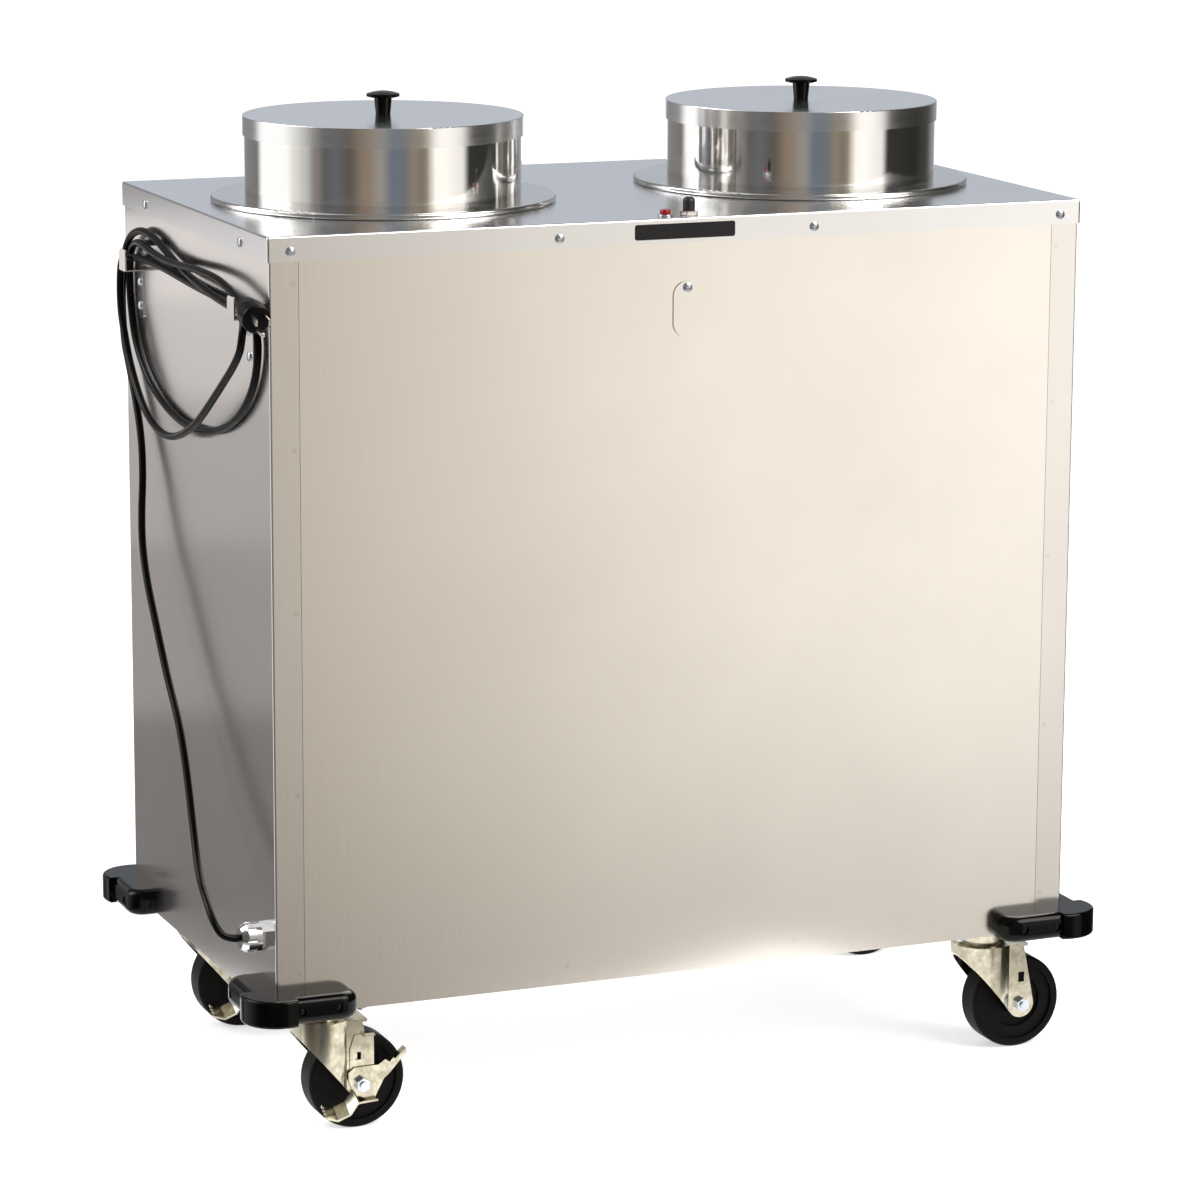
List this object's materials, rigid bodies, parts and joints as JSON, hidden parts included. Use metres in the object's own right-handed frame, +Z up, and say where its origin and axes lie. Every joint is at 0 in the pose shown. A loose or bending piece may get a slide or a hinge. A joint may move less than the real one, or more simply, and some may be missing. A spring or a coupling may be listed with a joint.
{
  "type": "plate dispenser",
  "caption": "Enclosed mobile cart that heats plates and lifts them on sprung carriers, with lift-off lids, swivel casters, corner bumpers and a wound power cord.",
  "frame": {"origin": "on the floor under the middle of the cabinet", "axes": "+Z up, front panel faces -Y, power cord leaves the left side at -X"},
  "size_m": [0.9688, 0.5578, 1.0315],
  "materials": {
    "stainless": "fine horizontal brushing",
    "polished_stainless": "bright polish with faint turning marks",
    "zinc": "zinc plate with a warm tint",
    "blue_zinc": "bright zinc",
    "black_vinyl": "glossy moulded",
    "wheel_rubber": "hard, matte",
    "cord_jacket": "smooth jacket",
    "grip_metal": "bright die cast",
    "pin_brass": "bright",
    "red_lens": "clear red moulding",
    "switch_rubber": "soft boot",
    "switch_case": "moulded",
    "heater_sheath": "dark sheath",
    "spring_steel": "drawn wire",
    "knob_black": "moulded"
  },
  "bodies": {
    "cabinet": {"top_deck": "stainless", "left_side_panel": "stainless", "right_side_panel": "stainless", "front_panel": "stainless", "rear_panel": "stainless", "base_pan": "stainless", "caster_backing_plates": "zinc", "corner_bumpers": "black_vinyl", "bumper_screws": "blue_zinc", "apron_screws": "polished_stainless", "cord_hooks": "stainless", "cord_hook_screws": "polished_stainless", "cord_grip_body": "grip_metal", "cord_grip_nut": "grip_metal", "cord_grip_locknut": "grip_metal", "terminal_box": "zinc", "power_cord_run": "cord_jacket", "power_cord_hank": "cord_jacket", "plug_body": "cord_jacket", "plug_pins": "pin_brass", "thermostat_cover_screw": "polished_stainless", "thermostat_body": "switch_case", "indicator_bezel": "grip_metal", "indicator_lens": "red_lens", "switch_body": "grip_metal", "heating_elements": "heater_sheath", "heater_supports": "zinc", "caster_top_plates": "zinc", "caster_bolts": "blue_zinc", "left_flange_ring": "polished_stainless", "left_guide_frame": "zinc", "left_springs": "spring_steel", "right_flange_ring": "polished_stainless", "right_guide_frame": "zinc", "right_springs": "spring_steel"},
    "left_plate_carrier": {"left_carrier": "stainless"},
    "left_lid": {"left_lid_wall": "polished_stainless", "left_lid_cap": "polished_stainless", "left_lid_knob": "knob_black"},
    "right_plate_carrier": {"right_carrier": "stainless"},
    "right_lid": {"right_lid_wall": "polished_stainless", "right_lid_cap": "polished_stainless", "right_lid_knob": "knob_black"},
    "thermostat_plate": {"thermostat_cover": "stainless"},
    "thermostat_spindle": {"thermostat_shaft": "pin_brass"},
    "switch_button": {"switch_boot": "switch_rubber"},
    "front_left_swivel": {"front_left_fork": "zinc", "front_left_axle": "blue_zinc"},
    "front_left_roller": {"front_left_wheel": "wheel_rubber"},
    "front_left_brake": {"front_left_brake_lever": "zinc"},
    "front_right_swivel": {"front_right_fork": "zinc", "front_right_axle": "blue_zinc"},
    "front_right_roller": {"front_right_wheel": "wheel_rubber"},
    "rear_left_swivel": {"rear_left_fork": "zinc", "rear_left_axle": "blue_zinc"},
    "rear_left_roller": {"rear_left_wheel": "wheel_rubber"},
    "rear_left_brake": {"rear_left_brake_lever": "zinc"},
    "rear_right_swivel": {"rear_right_fork": "zinc", "rear_right_axle": "blue_zinc"},
    "rear_right_roller": {"rear_right_wheel": "wheel_rubber"}
  },
  "joints": [
    {"name": "left_carrier_slide", "type": "slide", "parent": "cabinet", "child": "left_plate_carrier", "axis": [0, 0, -1], "range_m": [0, 0.45], "stiffness_N_per_m": 600, "springref_m": -0.06, "deforming": ["left_springs"]},
    {"name": "left_lid_lift", "type": "slide", "parent": "cabinet", "child": "left_lid", "axis": [0, 0, 1], "range_m": [0, 0.25]},
    {"name": "right_carrier_slide", "type": "slide", "parent": "cabinet", "child": "right_plate_carrier", "axis": [0, 0, -1], "range_m": [0, 0.45], "stiffness_N_per_m": 600, "springref_m": -0.06, "deforming": ["right_springs"]},
    {"name": "right_lid_lift", "type": "slide", "parent": "cabinet", "child": "right_lid", "axis": [0, 0, 1], "range_m": [0, 0.25]},
    {"name": "thermostat_cover_swing", "type": "hinge", "parent": "cabinet", "child": "thermostat_plate", "pos_m": [0, -0.2438, 0.85], "axis": [0, 1, 0], "range_deg": [-110, 110]},
    {"name": "thermostat_set", "type": "hinge", "parent": "cabinet", "child": "thermostat_spindle", "pos_m": [0, -0.235, 0.815], "axis": [0, 1, 0], "range_deg": [0, 270]},
    {"name": "switch_press", "type": "slide", "parent": "cabinet", "child": "switch_button", "axis": [0, 0, -1], "range_m": [0, 0.003], "stiffness_N_per_m": 500, "springref_m": -0.002},
    {"name": "front_left_swivel_turn", "type": "hinge", "parent": "cabinet", "child": "front_left_swivel", "pos_m": [-0.375, -0.187, 0.118], "axis": [0, 0, 1], "continuous": true},
    {"name": "front_left_wheel_roll", "type": "hinge", "parent": "front_left_swivel", "child": "front_left_roller", "pos_m": [-0.34, -0.187, 0.0508], "axis": [0, 1, 0], "continuous": true},
    {"name": "front_left_brake_press", "type": "hinge", "parent": "front_left_swivel", "child": "front_left_brake", "pos_m": [-0.34, -0.187, 0.0508], "axis": [0, 1, 0], "range_deg": [0, 25]},
    {"name": "front_right_swivel_turn", "type": "hinge", "parent": "cabinet", "child": "front_right_swivel", "pos_m": [0.375, -0.187, 0.118], "axis": [0, 0, 1], "continuous": true},
    {"name": "front_right_wheel_roll", "type": "hinge", "parent": "front_right_swivel", "child": "front_right_roller", "pos_m": [0.41, -0.187, 0.0508], "axis": [0, 1, 0], "continuous": true},
    {"name": "rear_left_swivel_turn", "type": "hinge", "parent": "cabinet", "child": "rear_left_swivel", "pos_m": [-0.375, 0.187, 0.118], "axis": [0, 0, 1], "continuous": true},
    {"name": "rear_left_wheel_roll", "type": "hinge", "parent": "rear_left_swivel", "child": "rear_left_roller", "pos_m": [-0.34, 0.187, 0.0508], "axis": [0, 1, 0], "continuous": true},
    {"name": "rear_left_brake_press", "type": "hinge", "parent": "rear_left_swivel", "child": "rear_left_brake", "pos_m": [-0.34, 0.187, 0.0508], "axis": [0, 1, 0], "range_deg": [0, 25]},
    {"name": "rear_right_swivel_turn", "type": "hinge", "parent": "cabinet", "child": "rear_right_swivel", "pos_m": [0.375, 0.187, 0.118], "axis": [0, 0, 1], "continuous": true},
    {"name": "rear_right_wheel_roll", "type": "hinge", "parent": "rear_right_swivel", "child": "rear_right_roller", "pos_m": [0.41, 0.187, 0.0508], "axis": [0, 1, 0], "continuous": true}
  ]
}
